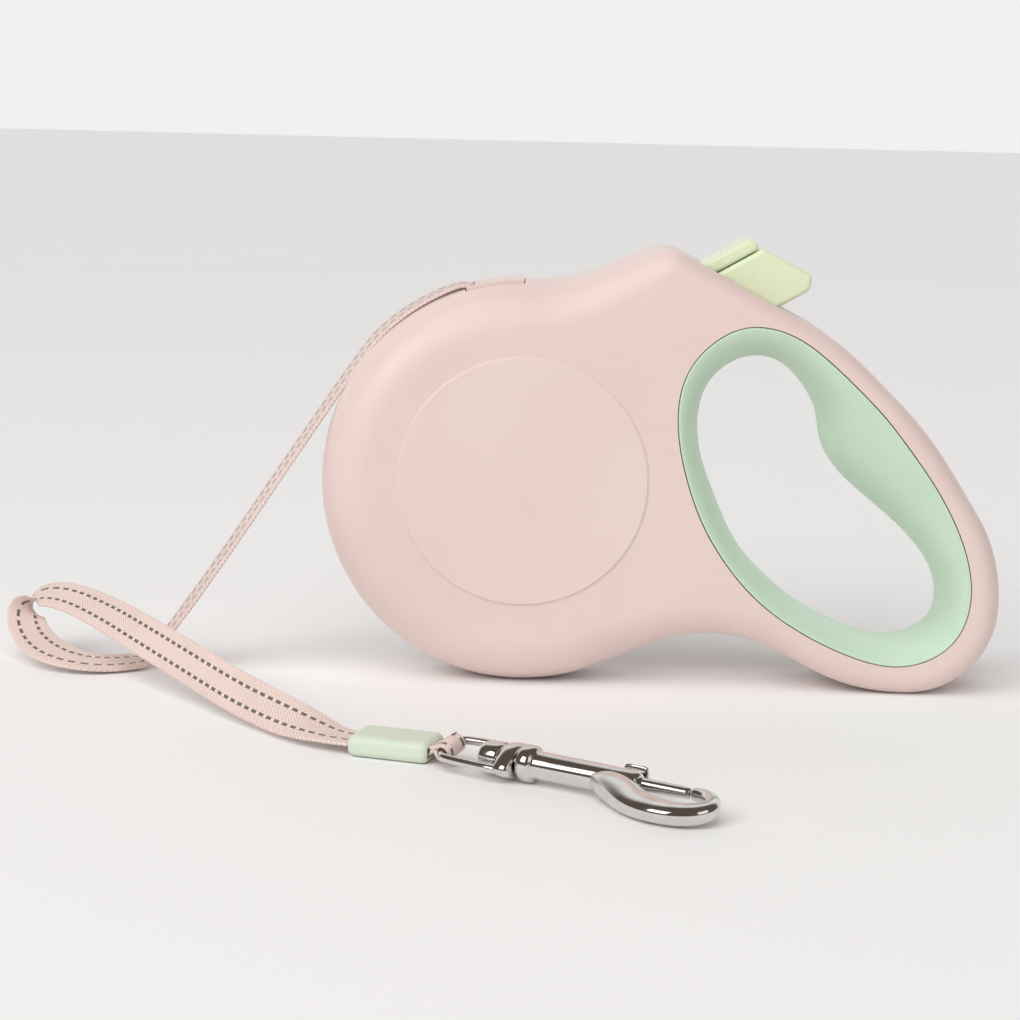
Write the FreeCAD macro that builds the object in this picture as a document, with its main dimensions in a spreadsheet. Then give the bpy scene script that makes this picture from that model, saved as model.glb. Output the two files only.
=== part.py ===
import FreeCAD, Part
import math
import os

from FreeCAD import Placement, Rotation, Vector

# Retractable tape leash: a hand-held housing that winds a flat tape onto a sprung spool, and the
# tape's free end with its swivel snap hook.  All lengths are millimetres.
# +X points to the hand grip, -Y is the front side, +Z is up; the housing stands on Z = 0.

SIZES = {
    # housing
    "drum_x": -34.6,
    "drum_radius": 50.3,
    "half_thickness": 16.0,
    "wall": 2.4,
    "drum_rounding": 12.0,
    "grip_rounding": 5.5,
    "cap_radius": 30.8,
    "cap_rise": 1.7,
    "cap_gap": 0.08,
    "cap_recess": 1.2,
    "cap_proud": 0.4,
    "floor_radius": 33.8,
    "floor_inner": 13.0,
    "rib_reach": 14.5,
    "cutter_reach": 17.0,
    "gusset_radius": 4.2,
    "gusset_x": 41.0,
    "gusset_z": 84.6,
    "axle_boss_wall": 3.5,
    "axle_boss_end": -10.5,
    "axle_boss_start": -13.5,
    "spring_post_start": -5.5,
    "mouth_half": 7.2,
    "axle_fit": 0.02,
    # mouth guide
    "guide_half": 7.0,
    "guide_tab_half": 8.2,
    "guide_proud": 0.45,
    "guide_slot_width": 11.4,
    "guide_slot_height": 2.1,
    # hand grip ring
    "grip_gap": 0.25,
    "grip_wall": 2.2,
    "grip_half": 15.9,
    "grip_rib": 1.8,
    "rib_half": 2.9,
    # spool, axle and wound tape
    "axle_radius": 2.5,
    "axle_half": 13.9,
    "bearing_gap": 0.06,
    "flange_radius": 37.0,
    "flange_front": -9.9,
    "flange_back": -7.3,
    "hub_radius": 16.0,
    "spigot_radius": 12.0,
    "disc_front": 3.7,
    "disc_back": 5.3,
    "arbor_radius": 5.0,
    "arbor_end": 11.4,
    "roll_radius": 35.5,
    "roll_front": -6.9,
    "roll_back": 3.3,
    "hub_rib_radius": 5.5,
    "hub_wall_inner": 13.6,
    "hub_web_front": 1.5,
    "anchor_depth": 14.8,
    "anchor_radius": 1.2,
    "washer_wall": 2.6,
    "ratchet_teeth": 24,
    # spring cassette
    "case_radius": 33.5,
    "case_wall": 1.5,
    "case_front": 6.0,
    "case_back": 12.9,
    "case_base": 11.9,
    "cover_front": 5.9,
    "cover_back": 6.9,
    "spring_front": 7.2,
    "spring_back": 11.4,
    # brake button and its lock
    "button_x": 18.0,
    "button_z": 98.0,
    "button_slope": 30.0,
    "button_half": 7.0,
    "lock_half": 6.6,
    "button_rounding": 1.3,
    "lock_rounding": 1.0,
    "slot_half": 7.3,
    # screws
    "boss_radius": 3.0,
    "screw_radius": 1.0,
    "pilot_radius": 1.0,
    "clearance_radius": 1.15,
    "head_radius": 1.95,
    "counterbore_radius": 2.1,
    "screw_seat": 5.0,
    "screw_tip": -6.0,
    "head_height": 1.5,
    "drive_length": 2.2,
    "drive_depth": 0.9,
    "drive_width": 0.5,
    # tape
    "tape_width": 10.0,
    "tape_thickness": 1.1,
    # end sleeve
    "sleeve_length": 19.2,
    "sleeve_width": 12.2,
    "sleeve_height": 4.8,
    "sleeve_rounding": 1.7,
    "sleeve_bore_width": 10.4,
    "sleeve_bore_height": 2.5,
    "doubled_height": 2.2,
    "loop_radius": 2.3,
    "loop_bore": 1.25,
    "loop_width": 6.4,
    # snap hook
    "eye_wire": 1.0,
    "stem_radius": 1.9,
    "stem_head": 2.8,
    "collar_radius": 4.1,
    "barrel_radius": 3.1,
    "bolt_radius": 1.25,
    "bolt_gap": 0.08,
    "bolt_offset": 1.0,
    "bolt_start": 37.0,
    "bolt_end": 60.7,
    "hook_half": 2.1,
    "hook_rounding": 0.95,
    "plate_start": 16.9,
    "plate_end": 19.6,
    "plate_disc": 4.0,
    "post_radius": 0.85,
}

DRUM = Vector(SIZES["drum_x"], 0, SIZES["drum_radius"])
ALONG_Y = Rotation(Vector(1, 0, 0), -90)
UPRIGHT = Rotation(Vector(1, 0, 0), 90)

# Housing outline, clockwise from the top of the drum: corner x, corner z, rounding radius.
DRUM_LEAVE_ANGLE = 25.0
OUTLINE_CORNERS = [
    (-24.2, 100.6, 45.0),
    (-0.2, 110.3, 9.0),
    (42.6, 87.8, 60.0),
    (65.2, 66.3, 100.0),
    (85.0, 35.8, 42.0),
    (85.0, 0.0, 22.5),
    (50.4, 0.0, 48.0),
]
OUTLINE_DIP = (13.9, 36.0)

# Hand opening: matching points of the grip's outer edge on the side face and of its inner edge
# at mid thickness, clockwise from the top, as x and z.
GRIP_EDGE = [
    (21.5, 91.4), (32.0, 88.6), (40.0, 82.9), (47.0, 76.6), (53.8, 69.8), (60.0, 62.3), (66.2, 54.0),
    (71.6, 45.0), (75.8, 34.5), (77.0, 25.0), (73.5, 14.5), (62.0, 8.0), (48.0, 10.1), (35.4, 15.9),
    (24.8, 23.3), (16.2, 32.7), (9.5, 43.8), (5.4, 55.0), (3.1, 68.0), (5.2, 80.0), (12.0, 88.0),
]
GRIP_HOLE = [
    (21.8, 83.1), (29.0, 81.5), (34.8, 76.0), (38.3, 69.5), (39.7, 62.5), (42.5, 57.0), (48.5, 50.8),
    (57.0, 43.9), (66.0, 35.0), (71.2, 24.0), (69.5, 15.0), (60.0, 11.5), (48.0, 14.0), (36.9, 19.6),
    (28.0, 26.6), (20.5, 34.6), (14.5, 46.0), (10.4, 56.5), (8.8, 67.5), (11.5, 76.8), (15.9, 81.0),
]
# How far the grip surface has come in, from its edge (0) to the hole (1), at each height Y.
GRIP_SECTIONS = [(0.0, 1.0), (5.0, 0.95), (10.0, 0.777), (13.0, 0.576), (15.0, 0.33), (15.9, 0.08)]

# Shell screws: x and z, three round the drum and three in the handle.
DRUM_SCREW_ANGLES = (158.0, 212.0, 258.0)
DRUM_SCREW_RADIUS = 45.4
HANDLE_SCREWS = [(8.0, 28.0), (-6.0, 98.0), (79.8, 14.6)]

# Button profiles in the button's own axes: s outward along its travel, t towards the drum side.
BUTTON_PROFILE = [
    (-6.0, 0.2, 0), (0.0, -2.4, 2.0), (3.8, -4.5, 2.0), (7.0, -6.8, 0), (15.8, -6.8, 2.2),
    (18.0, -3.9, 1.8), (11.5, 6.2, 1.6), (10.3, 7.9, 1.6), (-6.0, 7.9, 0),
]
LOCK_PROFILE = [(-9.0, 8.2, 0), (9.3, 8.2, 1.2), (9.7, 9.8, 1.2), (8.4, 11.5, 1.2), (-9.0, 11.5, 0)]
SLOT_PROFILE = [(26.0, -7.1, 0), (26.0, 11.8, 0), (-9.5, 11.8, 0), (3.4, -7.1, 0)]
PAWL_PROFILE = [
    (-33.7, -2.6, 0), (-33.7, 0.6, 0), (-7.0, 0.6, 1.0), (-6.0, 2.4, 0.6), (-3.0, 2.4, 0), (-3.0, -1.6, 0),
]
GULLET_PROFILE = [(-37.2, -4.2, 0), (-26.0, -4.2, 0), (-26.0, 2.2, 0), (-37.2, 2.2, 0)]
PAWL_FRONT = -9.6
POST_PROFILE = [(-17.5, 1.0, 0), (-15.5, 1.0, 0), (-15.5, 7.6, 0), (-17.5, 7.6, 0)]
BUTTON_SPRING_LINE = 4.3
BUTTON_SPRING_ENDS = (-15.4, -6.1)

# Tape exit, and the free tape's route from there to the end sleeve.  Each row is a point of the
# route, then the direction across the tape towards its far edge.
RIM_LIFT = 1.25
TAPE_EXIT = (-47.9, 0.0, 98.3)
TAPE_ROUTE = [
    (-47.9, 0.0, 98.3, 0.0, 1.0, 0.0),
    (-49.9, 0.0, 99.2, 0.0, 1.0, 0.0),
    (-53.9, 0.0, 98.1, 0.0, 1.0, 0.0),
    (-61.9, 0.0, 94.0, 0.0, 1.0, 0.0),
    (-69.1, 0.0, 88.6, 0.0, 1.0, 0.0),
    (-75.2, 0.0, 82.0, 0.0, 1.0, 0.0),
    (-127.6, -0.3, 1.0, 0.0, 1.0, 0.0),
    (-134.0, -3.6, 1.3, 0.0, 1.0, 0.1),
    (-142.0, -6.6, 2.3, 0.0, 0.95, 0.25),
    (-150.0, -4.5, 3.4, 0.15, 0.82, 0.45),
    (-157.5, 2.5, 4.6, 0.1, 0.75, 0.55),
    (-163.0, 9.5, 7.0, 0.25, 0.75, 0.6),
    (-164.5, 13.5, 11.5, 0.3, 0.82, 0.45),
    (-160.5, 15.5, 14.6, 0.1, 0.9, 0.42),
    (-151.0, 9.5, 14.9, 0.0, 0.89, 0.45),
    (-139.0, -4.0, 13.4, 0.0, 0.85, 0.53),
    (-127.0, -19.0, 11.6, 0.0, 0.7, 0.7),
    (-114.0, -35.5, 9.2, 0.15, 0.4, 0.9),
    (-101.0, -52.0, 6.6, 0.3, 0.1, 0.95),
    (-89.0, -64.5, 5.2, 0.4, 0.2, 0.85),
    (-80.6, -71.4, 3.4, 0.37, 0.8, 0.3),
    (-74.5, -75.2, 2.5, 0.29, 0.957, 0.0),
    (-67.7, -77.4, 2.5, 0.29, 0.957, 0.0),
]
TAPE_GAP_AT_SPOOL = 0.9
SPOOL_TAPE_Y = -1.8

# End pieces on the floor in front of the housing.
SLEEVE_START = Vector(-71.0, -76.3, 2.5)
SLEEVE_END = Vector(-52.6, -82.2, 2.5)
SNAP_START = Vector(-50.4, -86.8, 4.2)
SNAP_HEADING = -32.2
SNAP_ROLL = 12.0

doc = FreeCAD.newDocument("retractable_leash")
nodes = []


# ---------------------------------------------------------------- document helpers

def make_sheet():
    """Write the driving dimensions to the spreadsheet, one aliased cell each."""
    sheet = doc.addObject("Spreadsheet::Sheet", "sizes")
    for row, (alias, value) in enumerate(SIZES.items(), start=1):
        sheet.set(f"A{row}", alias)
        sheet.set(f"B{row}", str(value))
        sheet.setAlias(f"B{row}", alias)
    doc.recompute()


def size(text):
    """Turn 'wall + 1' into the sheet expression 'sizes.wall + 1'."""
    words = text.replace("(", " ( ").replace(")", " ) ").split()
    return " ".join(f"sizes.{word}" if word in SIZES else word for word in words)


def value_of(text):
    """The number that a size text stands for."""
    total = 0.0
    sign = 1.0
    for word in text.split():
        if word in "+-":
            sign = 1.0 if word == "+" else -1.0
        else:
            total += sign * (SIZES[word] if word in SIZES else float(word))
            sign = 1.0
    return total


def node(item, label):
    """Name a finished sub-part; its label is its file name."""
    item.Label = label
    nodes.append(item)
    return item


def cut(name, base, tools):
    """Base minus the tools."""
    result = doc.addObject("Part::Cut", name)
    result.Base = base
    result.Tool = tools[0] if len(tools) == 1 else fuse(name + "_tools", tools)
    return result


def fuse(name, shapes):
    """The union of the shapes."""
    result = doc.addObject("Part::MultiFuse", name)
    result.Shapes = shapes
    return result


def common(name, base, tool):
    """What base and tool share."""
    result = doc.addObject("Part::Common", name)
    result.Base = base
    result.Tool = tool
    return result


def cylinder_y(name, radius, start, end, x="drum_x", z="drum_radius"):
    """A cylinder along Y between two heights; every size is a text for the sheet."""
    result = doc.addObject("Part::Cylinder", name)
    result.Placement = Placement(Vector(), ALONG_Y)
    result.setExpression("Radius", size(radius))
    result.setExpression("Height", size(f"( {end} ) - ( {start} )"))
    result.setExpression("Placement.Base.x", size(x))
    result.setExpression("Placement.Base.y", size(start))
    result.setExpression("Placement.Base.z", size(z))
    return result


def feature(name, shape):
    """A shape made with Part's own functions."""
    result = doc.addObject("Part::Feature", name)
    result.Shape = shape
    return result


# ---------------------------------------------------------------- profiles

def corner_points(before, corner, after, radius):
    """Where a rounded corner starts and ends, and its centre."""
    back = (before - corner).normalize()
    ahead = (after - corner).normalize()
    half = back.getAngle(ahead) / 2
    reach = radius / math.tan(half)
    centre = corner + (back + ahead).normalize() * (radius / math.sin(half))
    return corner + back * reach, corner + ahead * reach, centre


def short_arc(start, end, centre):
    """The arc about centre from start to end by the shorter way, counter-clockwise in its circle."""
    radius = start.distanceToPoint(centre)
    first = math.atan2(start.y - centre.y, start.x - centre.x)
    last = math.atan2(end.y - centre.y, end.x - centre.x)
    if (last - first) % (2 * math.pi) > math.pi:
        first, last = last, first
    circle = Part.Circle(centre, Vector(0, 0, 1), radius)
    return Part.ArcOfCircle(circle, first, first + (last - first) % (2 * math.pi))


def rounded_path(points, radii, closed):
    """Lines and arcs through the corner points, in the sketch's own plane."""
    count = len(points)
    inner = range(count) if closed else range(1, count - 1)
    starts, ends, arcs = {}, {}, {}
    for index in inner:
        corner = points[index]
        starts[index], ends[index] = corner, corner
        if radii[index] > 0:
            start, end, centre = corner_points(points[index - 1], corner, points[(index + 1) % count], radii[index])
            starts[index], ends[index] = start, end
            arcs[index] = short_arc(start, end, centre)
    geometry = []
    for index in range(count if closed else count - 1):
        following = (index + 1) % count
        start = ends.get(index, points[index])
        end = starts.get(following, points[following])
        if start.distanceToPoint(end) > 1e-6:
            geometry.append(Part.LineSegment(start, end))
        if following in arcs:
            geometry.append(arcs[following])
    return geometry


def flat(points):
    """Sketch points from (u, v, ...) rows."""
    return [Vector(point[0], point[1], 0) for point in points]


def profile_geometry(corners):
    """A closed rounded polygon from (u, v, radius) corners."""
    return rounded_path(flat(corners), [corner[2] for corner in corners], closed=True)


def button_axes(profile):
    """Turn (s, t, radius) rows of the button's axes into (x, z, radius)."""
    angle = math.radians(SIZES["button_slope"])
    rows = []
    for s, t, radius in profile:
        x = SIZES["button_x"] + s * math.cos(angle) - t * math.sin(angle)
        z = SIZES["button_z"] + s * math.sin(angle) + t * math.cos(angle)
        rows.append((x, z, radius))
    return rows


def outline_geometry():
    """The housing outline: one arc round the drum and the rounded corners of the handle."""
    radius = SIZES["drum_radius"]
    leave = math.radians(DRUM_LEAVE_ANGLE)
    top = Vector(DRUM.x, 2 * radius, 0)
    left = Vector(DRUM.x + radius * math.sin(leave), radius - radius * math.cos(leave), 0)
    dip = Vector(OUTLINE_DIP[0], left.y + (OUTLINE_DIP[0] - left.x) * math.tan(leave), 0)
    points = [top] + flat(OUTLINE_CORNERS) + [dip, left]
    radii = [0] + [corner[2] for corner in OUTLINE_CORNERS] + [OUTLINE_DIP[1], 0]
    circle = Part.Circle(Vector(DRUM.x, radius, 0), Vector(0, 0, 1), radius)
    drum_arc = Part.ArcOfCircle(circle, math.pi / 2, 1.5 * math.pi + leave)
    return rounded_path(points, radii, closed=False) + [drum_arc]


def standing_sketch(name, geometry):
    """A free sketch whose own axes are the model's X and Z."""
    sketch = doc.addObject("Sketcher::SketchObject", name)
    sketch.Placement = Placement(Vector(), UPRIGHT)
    sketch.addGeometry(geometry, False)
    return sketch


def extrude_y(name, base, start, end):
    """Extrude a sketch or wire that lies at Y = 0 between two heights."""
    result = doc.addObject("Part::Extrusion", name)
    result.Base = base
    result.DirMode = "Custom"
    result.Dir = Vector(0, 1, 0)
    result.Solid = True
    result.setExpression("LengthFwd", size(end))
    result.setExpression("LengthRev", size(f"0 - ( {start} )"))
    return result


def padded_body(name, corners, start, end):
    """A PartDesign body: a rounded polygon in the X-Z plane, padded between two heights."""
    body = doc.addObject("PartDesign::Body", name)
    sketch = body_sketch(body, "XZ_Plane", name + "_profile", profile_geometry(corners))
    pad = body.newObject("PartDesign::Pad", name + "_pad")
    pad.Profile = sketch
    pad.setExpression("Length", size(f"( {end} ) - ( {start} )"))
    body.setExpression("Placement.Base.y", size(end))
    return body


def body_sketch(body, role, name, geometry):
    """A sketch on one of the body's own origin planes."""
    sketch = body.newObject("Sketcher::SketchObject", name)
    plane = [item for item in body.Origin.OriginFeatures if item.Role == role][0]
    sketch.AttachmentSupport = [(plane, "")]
    sketch.MapMode = "FlatFace"
    sketch.addGeometry(geometry, False)
    return sketch


def revolved_body(name, corners):
    """A PartDesign body turned about the spool axis from a (radius, Y) polygon."""
    body = doc.addObject("PartDesign::Body", name)
    sketch = body_sketch(body, "XY_Plane", name + "_section", profile_geometry(corners))
    turn = body.newObject("PartDesign::Revolution", name + "_turned")
    turn.Profile = sketch
    turn.ReferenceAxis = (sketch, ["V_Axis"])
    turn.Angle = 360.0
    body.setExpression("Placement.Base.x", size("drum_x"))
    body.setExpression("Placement.Base.z", size("drum_radius"))
    return body


def outer_edges(solid, height):
    """Numbers and edges that lie wholly at Y = height."""
    found = []
    for number, edge in enumerate(solid.Edges, start=1):
        if all(abs(vertex.Y - height) < 1e-6 for vertex in edge.Vertexes):
            found.append((number, edge))
    return found


def rounding_at(point, inset):
    """Edge rounding of the housing: large on the drum, small on the handle, easing between."""
    reach = math.hypot(point.x - DRUM.x, point.z - DRUM.z)
    if abs(reach - (SIZES["drum_radius"] - inset)) < 0.5:
        radius = SIZES["drum_rounding"]
    elif point.x < -15 and point.z > 90:
        radius = 9.0
    elif point.x < -3 and point.z > 90:
        radius = 7.0
    elif point.x < 0 and point.z < 20:
        radius = 10.0
    elif point.x < 31 and point.z < 20:
        radius = 7.0
    else:
        radius = SIZES["grip_rounding"]
    return radius - inset


def rounded_rim(name, base, height, inset):
    """Round the outline's edge at one side face."""
    doc.recompute()
    result = doc.addObject("Part::Fillet", name)
    result.Base = base
    rows = []
    for number, edge in outer_edges(base.Shape, height):
        first = rounding_at(edge.firstVertex(True).Point, inset)
        last = rounding_at(edge.lastVertex(True).Point, inset)
        rows.append((number, first, last))
    result.Edges = rows
    return result


# ---------------------------------------------------------------- housing

def closed_curve(points):
    """A smooth closed curve through the points, cut into three pieces."""
    curve = Part.BSplineCurve()
    curve.interpolate(Points=points, PeriodicFlag=True)
    knots = curve.getKnots()
    third = len(points) // 3
    pieces = []
    for start in range(0, len(points), third):
        piece = curve.copy()
        piece.segment(knots[start], knots[start + third])
        pieces.append(piece.toShape())
    return Part.Wire(pieces)


def grip_wire(fraction, height):
    """The closed curve part of the way from the grip's edge (0) to the hand hole (1)."""
    points = []
    for edge, hole in zip(GRIP_EDGE, GRIP_HOLE):
        x = edge[0] + (hole[0] - edge[0]) * fraction
        z = edge[1] + (hole[1] - edge[1]) * fraction
        points.append(Vector(x, height, z))
    return closed_curve(points)


def grip_outline(name, offset):
    """The grip's edge curve, moved outwards: two points for each point of the edge."""
    points = []
    for edge in grip_wire(0.0, 0.0).Edges:
        count = 2 * len(GRIP_EDGE) // 3
        for step in range(count):
            at = edge.FirstParameter + (edge.LastParameter - edge.FirstParameter) * step / count
            outward = edge.tangentAt(at).cross(Vector(0, 1, 0)).normalize()
            points.append(edge.valueAt(at) + outward * value_of(offset))
    return feature(name, closed_curve(points))


def screw_places():
    """Centres of the six shell screws."""
    places = []
    for angle in DRUM_SCREW_ANGLES:
        turn = math.radians(angle)
        places.append((DRUM.x + DRUM_SCREW_RADIUS * math.cos(turn), DRUM.z + DRUM_SCREW_RADIUS * math.sin(turn)))
    return places + HANDLE_SCREWS


def screw_cylinders(name, radius, start, end):
    """One cylinder along Y at each screw."""
    row = []
    for number, (x, z) in enumerate(screw_places(), start=1):
        row.append(cylinder_y(f"{name}_{number}", radius, start, end, str(x), str(z)))
    return row


def sector_corners(inner, outer, first, last):
    """A four-sided piece of a ring round the drum centre."""
    rows = []
    for radius, angle in ((inner, first), (outer, first), (outer, last), (inner, last)):
        turn = math.radians(angle)
        rows.append((DRUM.x + radius * math.cos(turn), DRUM.z + radius * math.sin(turn), 0))
    return rows


def make_skin():
    """The front half's rounded outside and its hollow skin."""
    block = extrude_y("housing_block", outline, "0 - half_thickness", "0")
    outside = rounded_rim("housing_outside", block, -SIZES["half_thickness"], 0.0)
    hollow = extrude_y("housing_hollow", inner_outline, "wall - half_thickness", "0")
    cavity = rounded_rim("housing_cavity", hollow, SIZES["wall"] - SIZES["half_thickness"], SIZES["wall"])
    return outside, cut("housing_skin", outside, [cavity])


def mirrored_y(name, source):
    """A copy on the other side of the X-Z plane."""
    result = doc.addObject("Part::Mirroring", name)
    result.Source = source
    result.Normal = Vector(0, 1, 0)
    return result


def depth_span(side, low, high):
    """Two depths from the split plane as Y, for the front half (side -1) or the rear half (+1)."""
    if side > 0:
        return low, high
    return f"0 - ( {high} )", f"0 - ( {low} )"


def make_ribs(side, label):
    """What stands inside one half: opening wall, floor, screw bosses, gusset and axle or spring post."""
    ribs = [
        extrude_y(label + "_opening_wall", grip_wall_curve, *depth_span(side, "rib_half + grip_gap", "rib_reach")),
        cylinder_y(label + "_floor", "floor_radius", *depth_span(side, "floor_inner", "rib_reach")),
        cylinder_y(label + "_gusset", "gusset_radius", *depth_span(side, "0", "rib_reach"), "gusset_x", "gusset_z"),
    ]
    ribs += screw_cylinders(label + "_boss", "boss_radius", *depth_span(side, "0", "rib_reach"))
    if side < 0:
        ribs.append(cylinder_y(label + "_axle_boss", "axle_radius + axle_boss_wall", "axle_boss_start",
                               "axle_boss_end"))
    else:
        post = standing_sketch(label + "_post", profile_geometry(button_axes(POST_PROFILE)))
        ribs.append(extrude_y(label + "_spring_post", post, "spring_post_start", "rib_reach"))
    return ribs


def make_shell(side, label, outer, skin):
    """One half of the housing; side is -1 for the front half and +1 for the rear half."""
    ribs = make_ribs(side, label)
    inside = common(label + "_ribs", fuse(label + "_all_ribs", ribs), outer)

    tools = [
        extrude_y(label + "_opening", grip_opening_curve, "0 - cutter_reach", "cutter_reach"),
        extrude_y(label + "_rib_groove", grip_groove_curve, "0 - rib_half - 0.2", "rib_half + 0.2"),
        cylinder_y(label + "_cap_recess", "cap_radius + cap_gap",
                   *depth_span(side, "half_thickness - cap_recess", "cutter_reach"), z="drum_radius + cap_rise"),
        extrude_y(label + "_button_slot", slot_sketch, "0 - slot_half", "slot_half"),
        extrude_y(label + "_mouth", mouth_sketch, "0 - mouth_half", "mouth_half"),
    ]
    if side < 0:
        tools.append(cylinder_y(label + "_axle_bore", "axle_radius + axle_fit", "0 - axle_half", "axle_boss_end + 0.5"))
        tools += screw_cylinders(label + "_pilot", "pilot_radius", "screw_tip - 2", "0.1")
    else:
        tools.append(cylinder_y(label + "_axle_bore", "axle_radius + axle_fit", "floor_inner - 1", "axle_half"))
        tools += screw_cylinders(label + "_clearance", "clearance_radius", "-0.1", "screw_seat + 0.1")
        tools += screw_cylinders(label + "_counterbore", "counterbore_radius", "screw_seat", "cutter_reach")
    shell = cut(label, fuse(label + "_body", [skin, inside]), tools)
    return node(shell, label)


def make_cap(side, label):
    """The thin round cover that sits in each shell's recess."""
    if side > 0:
        start, end = "half_thickness - cap_recess", "half_thickness + cap_proud"
        height = value_of(end)
    else:
        start, end = "0 - half_thickness - cap_proud", "cap_recess - half_thickness"
        height = value_of(start)
    disc = cylinder_y(label + "_disc", "cap_radius", start, end, z="drum_radius + cap_rise")
    doc.recompute()
    cap = doc.addObject("Part::Fillet", label)
    cap.Base = disc
    cap.Edges = [(number, 0.35, 0.35) for number, edge in outer_edges(disc.Shape, height)]
    return node(cap, label)


def make_grip():
    """The soft grip: a ring whose inner face bulges to the hand hole, with a rib that holds it."""
    blank = extrude_y("grip_blank", grip_edge, "0 - grip_half", "grip_half")
    rib = extrude_y("grip_rib", grip_rib_curve, "0 - rib_half", "rib_half")
    mirrored = [(-y, fraction) for y, fraction in GRIP_SECTIONS[:0:-1]]
    sections = [grip_wire(fraction, y) for y, fraction in mirrored + GRIP_SECTIONS]
    hole = feature("hand_hole", Part.makeLoft(sections, True, False))
    return node(cut("handle_grip", fuse("grip_solid", [blank, rib]), [hole]), "handle_grip")


def make_mouth_guide():
    """The insert that the tape comes out through: a curved block with a slanting slot."""
    wedge = extrude_y("guide_wedge", standing_sketch("guide_plan", profile_geometry(
        sector_corners(44.0, 52.5, 91.0, 107.4))), "0 - guide_half", "guide_half")
    tabs = extrude_y("guide_tabs", standing_sketch("guide_tab_plan", profile_geometry(
        sector_corners(45.2, 46.6, 89.6, 108.8))), "0 - guide_tab_half", "guide_tab_half")
    ring = cut("guide_ring", cylinder_y("guide_rim", "drum_radius + guide_proud", "-9", "9"),
               [cylinder_y("guide_bore", "drum_radius - 5", "-10", "10")])
    block = fuse("guide_block", [common("guide_arc", wedge, ring), tabs])
    heading = math.atan2(TAPE_EXIT[2] - lead_start().z, TAPE_EXIT[0] - lead_start().x)
    slot = doc.addObject("Part::Box", "guide_slot")
    slot.Length = 40.0
    slot.Width = SIZES["guide_slot_width"]
    slot.Height = SIZES["guide_slot_height"]
    slot.Placement = Placement(Vector(*TAPE_EXIT), Rotation(Vector(0, 1, 0), -math.degrees(heading)))
    corner = Vector(-30, -SIZES["guide_slot_width"] / 2, -SIZES["guide_slot_height"] / 2)
    slot.Placement = slot.Placement.multiply(Placement(corner, Rotation()))
    return node(cut("mouth_guide", block, [slot]), "mouth_guide")


# ---------------------------------------------------------------- spool and spring

def make_spool():
    """Hub, front flange with ratchet gullets, and the arbor that winds the spring."""
    bore = value_of("axle_radius + bearing_gap")
    front, back = SIZES["flange_front"], SIZES["flange_back"]
    section = [
        (bore, front), (SIZES["hub_rib_radius"], front), (SIZES["hub_rib_radius"], SIZES["hub_web_front"]),
        (SIZES["hub_wall_inner"], SIZES["hub_web_front"]), (SIZES["hub_wall_inner"], front),
        (SIZES["flange_radius"], front),
        (SIZES["flange_radius"], back), (SIZES["hub_radius"], back), (SIZES["hub_radius"], SIZES["disc_front"]),
        (SIZES["spigot_radius"], SIZES["disc_front"]), (SIZES["spigot_radius"], SIZES["disc_back"]),
        (SIZES["arbor_radius"], SIZES["disc_back"]), (SIZES["arbor_radius"], SIZES["arbor_end"]),
        (bore, SIZES["arbor_end"]),
    ]
    body = revolved_body("spool_blank", [(radius, y, 0) for radius, y in section])
    rows = [(x - DRUM.x, z - DRUM.z, radius) for x, z, radius in button_axes(GULLET_PROFILE)]
    sketch = body_sketch(body, "XZ_Plane", "gullet_profile", profile_geometry(rows))
    pocket = body.newObject("PartDesign::Pocket", "gullet")
    pocket.Profile = sketch
    pocket.Type = "ThroughAll"
    pocket.Midplane = True
    doc.recompute()
    pattern = body.newObject("PartDesign::PolarPattern", "gullets")
    pattern.Originals = [pocket]
    axis = [item for item in body.Origin.OriginFeatures if item.Role == "Y_Axis"][0]
    pattern.Axis = (axis, [""])
    pattern.Angle = 360.0
    pattern.setExpression("Occurrences", size("ratchet_teeth"))
    body.Tip = pattern
    anchor = anchor_pin("anchor_bore", "anchor_radius + 0.05", "flange_back", "disc_front + 0.1")
    node(cut("spool_drilled", body, [anchor]), "spool")
    return body


def anchor_pin(name, radius, start, end):
    """A cylinder in the hub wall, where the tape's inner end is held."""
    return cylinder_y(name, radius, start, end, "drum_x", "drum_radius - anchor_depth")


def make_spool_parts():
    """The rear flange, the tape's anchor pin, the wound tape, the axle and its washers."""
    disc = cylinder_y("disc_blank", "flange_radius", "disc_front + 0.02", "disc_back")
    hole = cylinder_y("disc_hole", "spigot_radius + 0.03", "disc_front - 1", "disc_back + 1")
    node(cut("spool_disc", disc, [hole]), "spool_disc")
    node(anchor_pin("tape_anchor_pin", "anchor_radius", "flange_back + 0.1", "disc_front"), "tape_anchor_pin")
    roll = cylinder_y("roll_blank", "roll_radius", "roll_front", "roll_back")
    node(cut("tape_roll", roll, [cylinder_y("roll_hole", "hub_radius + 0.1", "roll_front - 1", "roll_back + 1")]), "tape_roll")
    pin = cylinder_y("axle_pin", "axle_radius", "0 - axle_half", "axle_half")
    doc.recompute()
    axle = doc.addObject("Part::Chamfer", "axle")
    axle.Base = pin
    ends = outer_edges(pin.Shape, SIZES["axle_half"]) + outer_edges(pin.Shape, -SIZES["axle_half"])
    axle.Edges = [(number, 0.4, 0.4) for number, edge in ends]
    node(axle, "axle")
    washers = []
    for name, start, end in (("front_washer", "-10.4", "-10.0"), ("rear_washer", "11.5", "11.85")):
        ring = cylinder_y(name + "_ring", "axle_radius + washer_wall", start, end)
        hole = cylinder_y(name + "_hole", "axle_radius + 0.1", f"{start} - 1", f"{end} + 1")
        washers.append(cut(name, ring, [hole]))
    node(fuse("thrust_washers", washers), "thrust_washers")


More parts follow.
